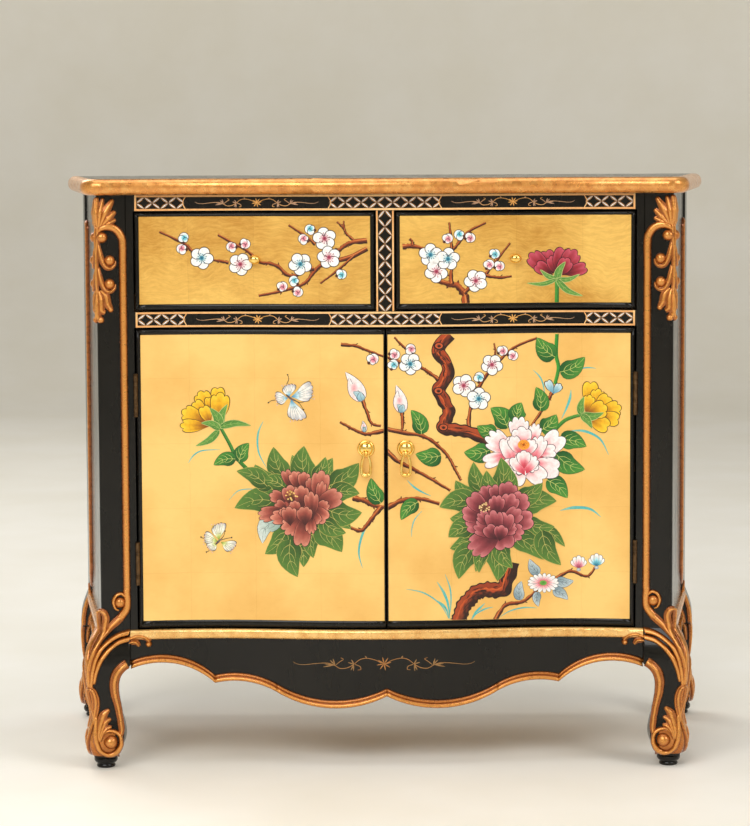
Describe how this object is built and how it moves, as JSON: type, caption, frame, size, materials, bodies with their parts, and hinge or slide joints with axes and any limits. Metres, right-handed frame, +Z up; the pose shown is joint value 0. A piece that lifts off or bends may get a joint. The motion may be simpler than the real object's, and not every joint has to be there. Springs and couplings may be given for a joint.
{
  "type": "chinese entryway cabinet",
  "caption": "Black lacquer entryway cabinet with a serpentine front, gold-leaf flower-painted drawers over doors, gilded mouldings and carved cabriole legs.",
  "frame": {"origin": "on the floor under the middle of the cabinet's bounding box", "axes": "+Z up, front faces -Y, +X to the viewer's right"},
  "size_m": [0.9918, 0.4, 0.85],
  "materials": {
    "black_lacquer": "deep gloss black lacquer on wood",
    "gilded_wood": "antiqued coppery gold gilding with dark wear in the hollows",
    "gold_leaf_panel": "gold leaf under varnish, hand-painted flowers",
    "inner_wood": null,
    "brass": "polished brass",
    "bronze": "dark aged bronze",
    "steel": "plain steel",
    "catch_plastic": "black moulded plastic",
    "pad_black": "satin black"
  },
  "bodies": {
    "case": {"top_board": "black_lacquer", "top_edge_moulding": "gilded_wood", "top_rail": "black_lacquer", "middle_rail": "black_lacquer", "bottom_rail": "black_lacquer", "centre_stile": "black_lacquer", "frame_stiles": "black_lacquer", "front_bead": "gilded_wood", "front_apron": "black_lacquer", "front_apron_edge": "gilded_wood", "side_aprons": "black_lacquer", "side_apron_edges": "gilded_wood", "side_beads": "gilded_wood", "left_front_post": "black_lacquer", "right_front_post": "black_lacquer", "left_rear_post": "black_lacquer", "right_rear_post": "black_lacquer", "foot_pads": "pad_black", "left_side_panel": "black_lacquer", "right_side_panel": "black_lacquer", "back_panel": "inner_wood", "back_rail": "inner_wood", "bottom_board": "inner_wood", "dust_board": "inner_wood", "drawer_divider": "inner_wood", "drawer_guides": "inner_wood", "drawer_stops": "inner_wood", "shelf": "inner_wood", "shelf_battens": "inner_wood", "post_strips": "gilded_wood", "post_carvings": "gilded_wood", "hinge_frame_leaves": "bronze", "hinge_pins": "bronze", "door_catches": "catch_plastic"},
    "left_door": {"left_door_board": "black_lacquer", "left_door_gold_panel": "gold_leaf_panel", "left_hinge_door_leaves": "bronze", "left_door_strike": "steel", "left_pull_rosette": "brass", "left_pull_nut": "steel"},
    "left_pull": {"left_pull_drop": "brass"},
    "left_drawer": {"left_drawer_front": "black_lacquer", "left_drawer_gold_panel": "gold_leaf_panel", "left_drawer_box": "inner_wood", "left_drawer_bottom": "inner_wood", "left_drawer_knob": "brass", "left_knob_nut": "steel"},
    "right_door": {"right_door_board": "black_lacquer", "right_door_gold_panel": "gold_leaf_panel", "right_hinge_door_leaves": "bronze", "right_door_strike": "steel", "right_pull_rosette": "brass", "right_pull_nut": "steel"},
    "right_pull": {"right_pull_drop": "brass"},
    "right_drawer": {"right_drawer_front": "black_lacquer", "right_drawer_gold_panel": "gold_leaf_panel", "right_drawer_box": "inner_wood", "right_drawer_bottom": "inner_wood", "right_drawer_knob": "brass", "right_knob_nut": "steel"}
  },
  "joints": [
    {"name": "left_door_swing", "type": "hinge", "parent": "case", "child": "left_door", "pos_m": [-0.3579, -0.17282, 0.41875], "axis": [0, 0, -1], "range_deg": [0, 110]},
    {"name": "left_pull_swing", "type": "hinge", "parent": "left_door", "child": "left_pull", "pos_m": [-0.0285, -0.18516, 0.457], "axis": [-1, 0, 0], "range_deg": [-8, 80]},
    {"name": "left_drawer_slide", "type": "slide", "parent": "case", "child": "left_drawer", "axis": [0, -1, 0], "range_m": [0, 0.24]},
    {"name": "right_door_swing", "type": "hinge", "parent": "case", "child": "right_door", "pos_m": [0.3579, -0.17282, 0.41875], "axis": [0, 0, 1], "range_deg": [0, 110]},
    {"name": "right_pull_swing", "type": "hinge", "parent": "right_door", "child": "right_pull", "pos_m": [0.0285, -0.18516, 0.457], "axis": [-1, 0, 0], "range_deg": [-8, 80]},
    {"name": "right_drawer_slide", "type": "slide", "parent": "case", "child": "right_drawer", "axis": [0, -1, 0], "range_m": [0, 0.24]}
  ]
}
